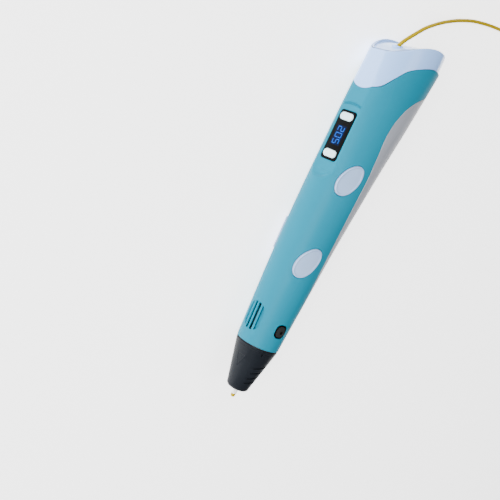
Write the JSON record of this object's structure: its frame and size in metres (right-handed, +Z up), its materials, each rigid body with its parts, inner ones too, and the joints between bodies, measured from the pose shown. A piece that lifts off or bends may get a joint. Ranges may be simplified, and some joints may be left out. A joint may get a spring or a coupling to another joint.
{
  "type": "three d pen",
  "caption": "Handheld pen that draws with melted filament: sky-blue casing, white rear cover and tail, display, feed and retract buttons, dark nose cone, loose yellow filament.",
  "frame": {"origin": "bottom centre of the pen's bounding box, loose filament left out; the pen lies on its left side on z = 0", "axes": "+X along the pen towards the nozzle, +Y towards the pen's back (the display faces -Y), +Z up out of the side with the feed and retract buttons"},
  "size_m": [0.254, 0.1263, 0.0274],
  "materials": {
    "sky_shell": "gloss",
    "white_shell": "gloss",
    "leaf_shell": "satin",
    "button_white": "gloss",
    "black_gloss": "gloss",
    "display": "gloss",
    "black_matte": "matte",
    "slate": "matte",
    "ceramic": "satin",
    "filament": "gloss",
    "brass": "satin",
    "wrap": "matte",
    "epoxy": "gloss",
    "ptfe": "satin",
    "steel": "satin",
    "nylon": "matte",
    "gear": "satin",
    "board": "satin",
    "wire": "satin"
  },
  "bodies": {
    "casing": {"main_shell": "sky_shell", "rear_cover": "leaf_shell", "tail_cap": "white_shell", "seam_ring": "black_matte", "display_bezel": "black_gloss", "display_panel": "display", "slider_track": "button_white", "speed_potentiometer": "black_matte", "ceramic_nozzle": "ceramic", "melt_bead": "filament", "heater_sleeve": "brass", "heater_insulation": "wrap", "thermistor": "epoxy", "nozzle_holder": "black_matte", "guide_tube": "ptfe", "upper_guide_tube": "ptfe", "inlet_ferrule": "white_shell", "filament_core": "filament", "fan_frame": "black_matte", "drive_bracket": "nylon", "idler_pivot": "steel", "idler_spring": "steel", "gearbox": "brass", "drive_motor": "steel", "main_board": "board", "board_chips": "black_matte", "key_switches": "black_matte", "button_board": "board", "button_switches": "black_matte", "power_jack": "black_matte", "jack_pin": "steel", "board_screws": "steel", "bracket_screws": "steel", "heater_wires": "wire", "motor_wires": "wire", "power_wires": "wire", "filament_strand": "filament", "filament_coil": "filament"},
    "up_key": {"key_up": "button_white"},
    "down_key": {"key_down": "button_white"},
    "feed": {"feed_button": "button_white"},
    "retract": {"retract_button": "button_white"},
    "latch": {"latch_button": "black_gloss"},
    "slider": {"speed_slider": "button_white"},
    "cone": {"nose_cone": "slate"},
    "drive": {"drive_wheel": "steel", "drive_gear": "gear"},
    "pinion": {"motor_pinion": "brass"},
    "idler": {"idler_arm": "steel"},
    "bearing": {"idler_bearing": "steel"},
    "fan": {"fan_rotor": "black_matte"}
  },
  "joints": [
    {"name": "key_up_press", "type": "slide", "parent": "casing", "child": "up_key", "axis": [0, 1, 0], "range_m": [0, 0.00035], "stiffness_N_per_m": 400, "springref_m": -0.0005},
    {"name": "key_down_press", "type": "slide", "parent": "casing", "child": "down_key", "axis": [0, 1, 0], "range_m": [0, 0.00035], "stiffness_N_per_m": 400, "springref_m": -0.0005},
    {"name": "feed_press", "type": "slide", "parent": "casing", "child": "feed", "axis": [0, 0.4067, -0.9135], "range_m": [0, 0.0006], "stiffness_N_per_m": 400, "springref_m": -0.0005},
    {"name": "retract_press", "type": "slide", "parent": "casing", "child": "retract", "axis": [0, 0.4067, -0.9135], "range_m": [0, 0.0006], "stiffness_N_per_m": 400, "springref_m": -0.0005},
    {"name": "latch_press", "type": "slide", "parent": "casing", "child": "latch", "axis": [0, 0.0872, -0.9962], "range_m": [0, 0.001], "stiffness_N_per_m": 400, "springref_m": -0.0005},
    {"name": "speed_slide", "type": "slide", "parent": "casing", "child": "slider", "axis": [0.9997, 0.0103, 0.0231], "range_m": [0, 0.006]},
    {"name": "cone_pull", "type": "slide", "parent": "casing", "child": "cone", "axis": [1, 0, 0], "range_m": [0, 0.028]},
    {"name": "drive_spin", "type": "hinge", "parent": "casing", "child": "drive", "pos_m": [0.00035, -0.00425, 0.01356], "axis": [0, 0, 1], "continuous": true},
    {"name": "pinion_spin", "type": "hinge", "parent": "casing", "child": "pinion", "pos_m": [-0.00765, -0.00425, 0.01356], "axis": [0, 0, 1], "continuous": true},
    {"name": "idler_swing", "type": "hinge", "parent": "casing", "child": "idler", "pos_m": [-0.00925, -0.01425, 0.01356], "axis": [0, 0, -1], "range_deg": [0, 5], "stiffness_Nm_per_rad": 0.02, "springref_deg": -5.73, "deforming": ["idler_spring"]},
    {"name": "bearing_spin", "type": "hinge", "parent": "idler", "child": "bearing", "pos_m": [0.00035, -0.01295, 0.01356], "axis": [0, 0, 1], "continuous": true},
    {"name": "fan_spin", "type": "hinge", "parent": "casing", "child": "fan", "pos_m": [0.03135, -0.00405, 0.01356], "axis": [0, 1, 0], "continuous": true}
  ],
  "couplings": [
    {"joint": "pinion_spin", "follows": "drive_spin", "ratio": -1.6667},
    {"joint": "bearing_spin", "follows": "drive_spin", "ratio": -1.0294}
  ]
}
